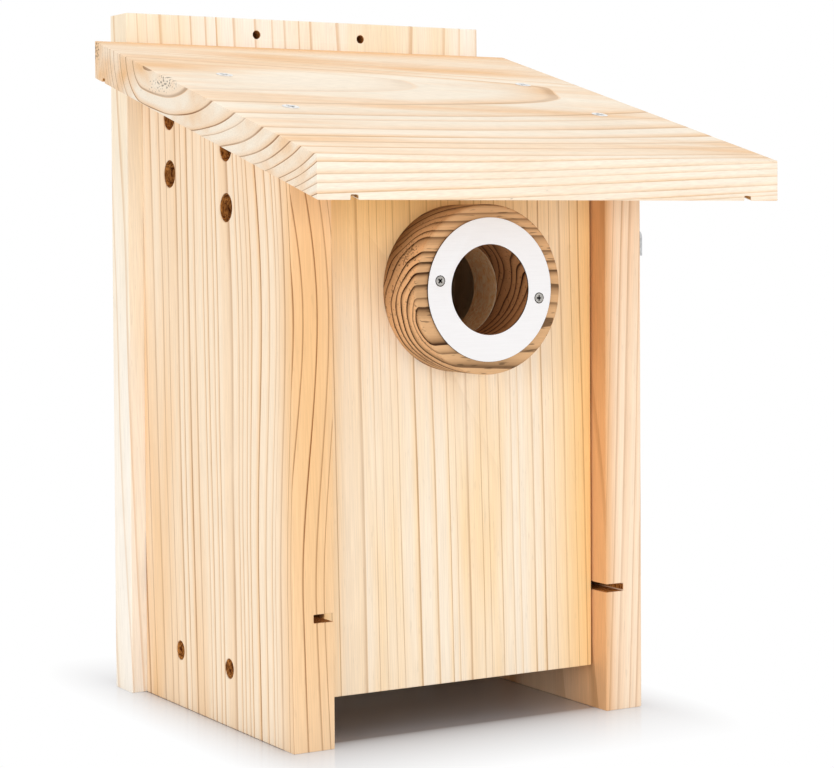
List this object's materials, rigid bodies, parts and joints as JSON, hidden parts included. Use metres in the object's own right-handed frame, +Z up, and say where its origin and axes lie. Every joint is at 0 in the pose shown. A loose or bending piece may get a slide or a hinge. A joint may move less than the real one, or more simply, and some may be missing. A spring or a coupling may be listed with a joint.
{
  "type": "nest box",
  "caption": "Cedar nest box with a sloped overhanging roof, a round guarded entrance, a drop-down clean-out front held by a catch pin, a mesh floor and a tall back board for hanging.",
  "frame": {"origin": "centre of the box's whole footprint, on the surface that it stands on", "axes": "+Z up, -Y towards the entrance, +Y towards the wall or post, +X to the right as the entrance is faced"},
  "size_m": [0.22, 0.237, 0.314],
  "materials": {
    "cedar": "planed, unfinished",
    "guard_wood": "turned, unfinished",
    "stainless": "satin",
    "zinc_steel": "zinc plated",
    "galvanised_wire": "galvanised"
  },
  "bodies": {
    "house": {"back_board": "cedar", "left_side": "cedar", "right_side": "cedar", "back_screws": "zinc_steel", "bottom_board": "cedar", "bottom_screws": "zinc_steel", "mesh_floor": "galvanised_wire", "pivot_pins": "zinc_steel", "roof": "cedar", "roof_screws": "zinc_steel"},
    "front": {"front_panel": "cedar", "guard_block": "guard_wood", "guard_plate": "stainless", "guard_screws": "stainless"},
    "catch": {"catch_pin": "zinc_steel"}
  },
  "joints": [
    {"name": "front_drop", "type": "hinge", "parent": "house", "child": "front", "pos_m": [0, -0.0305, 0.0285], "axis": [1, 0, 0], "range_deg": [0, 80]},
    {"name": "catch_slide", "type": "slide", "parent": "house", "child": "catch", "axis": [-1, 0, 0], "range_m": [0, 0.011]}
  ]
}
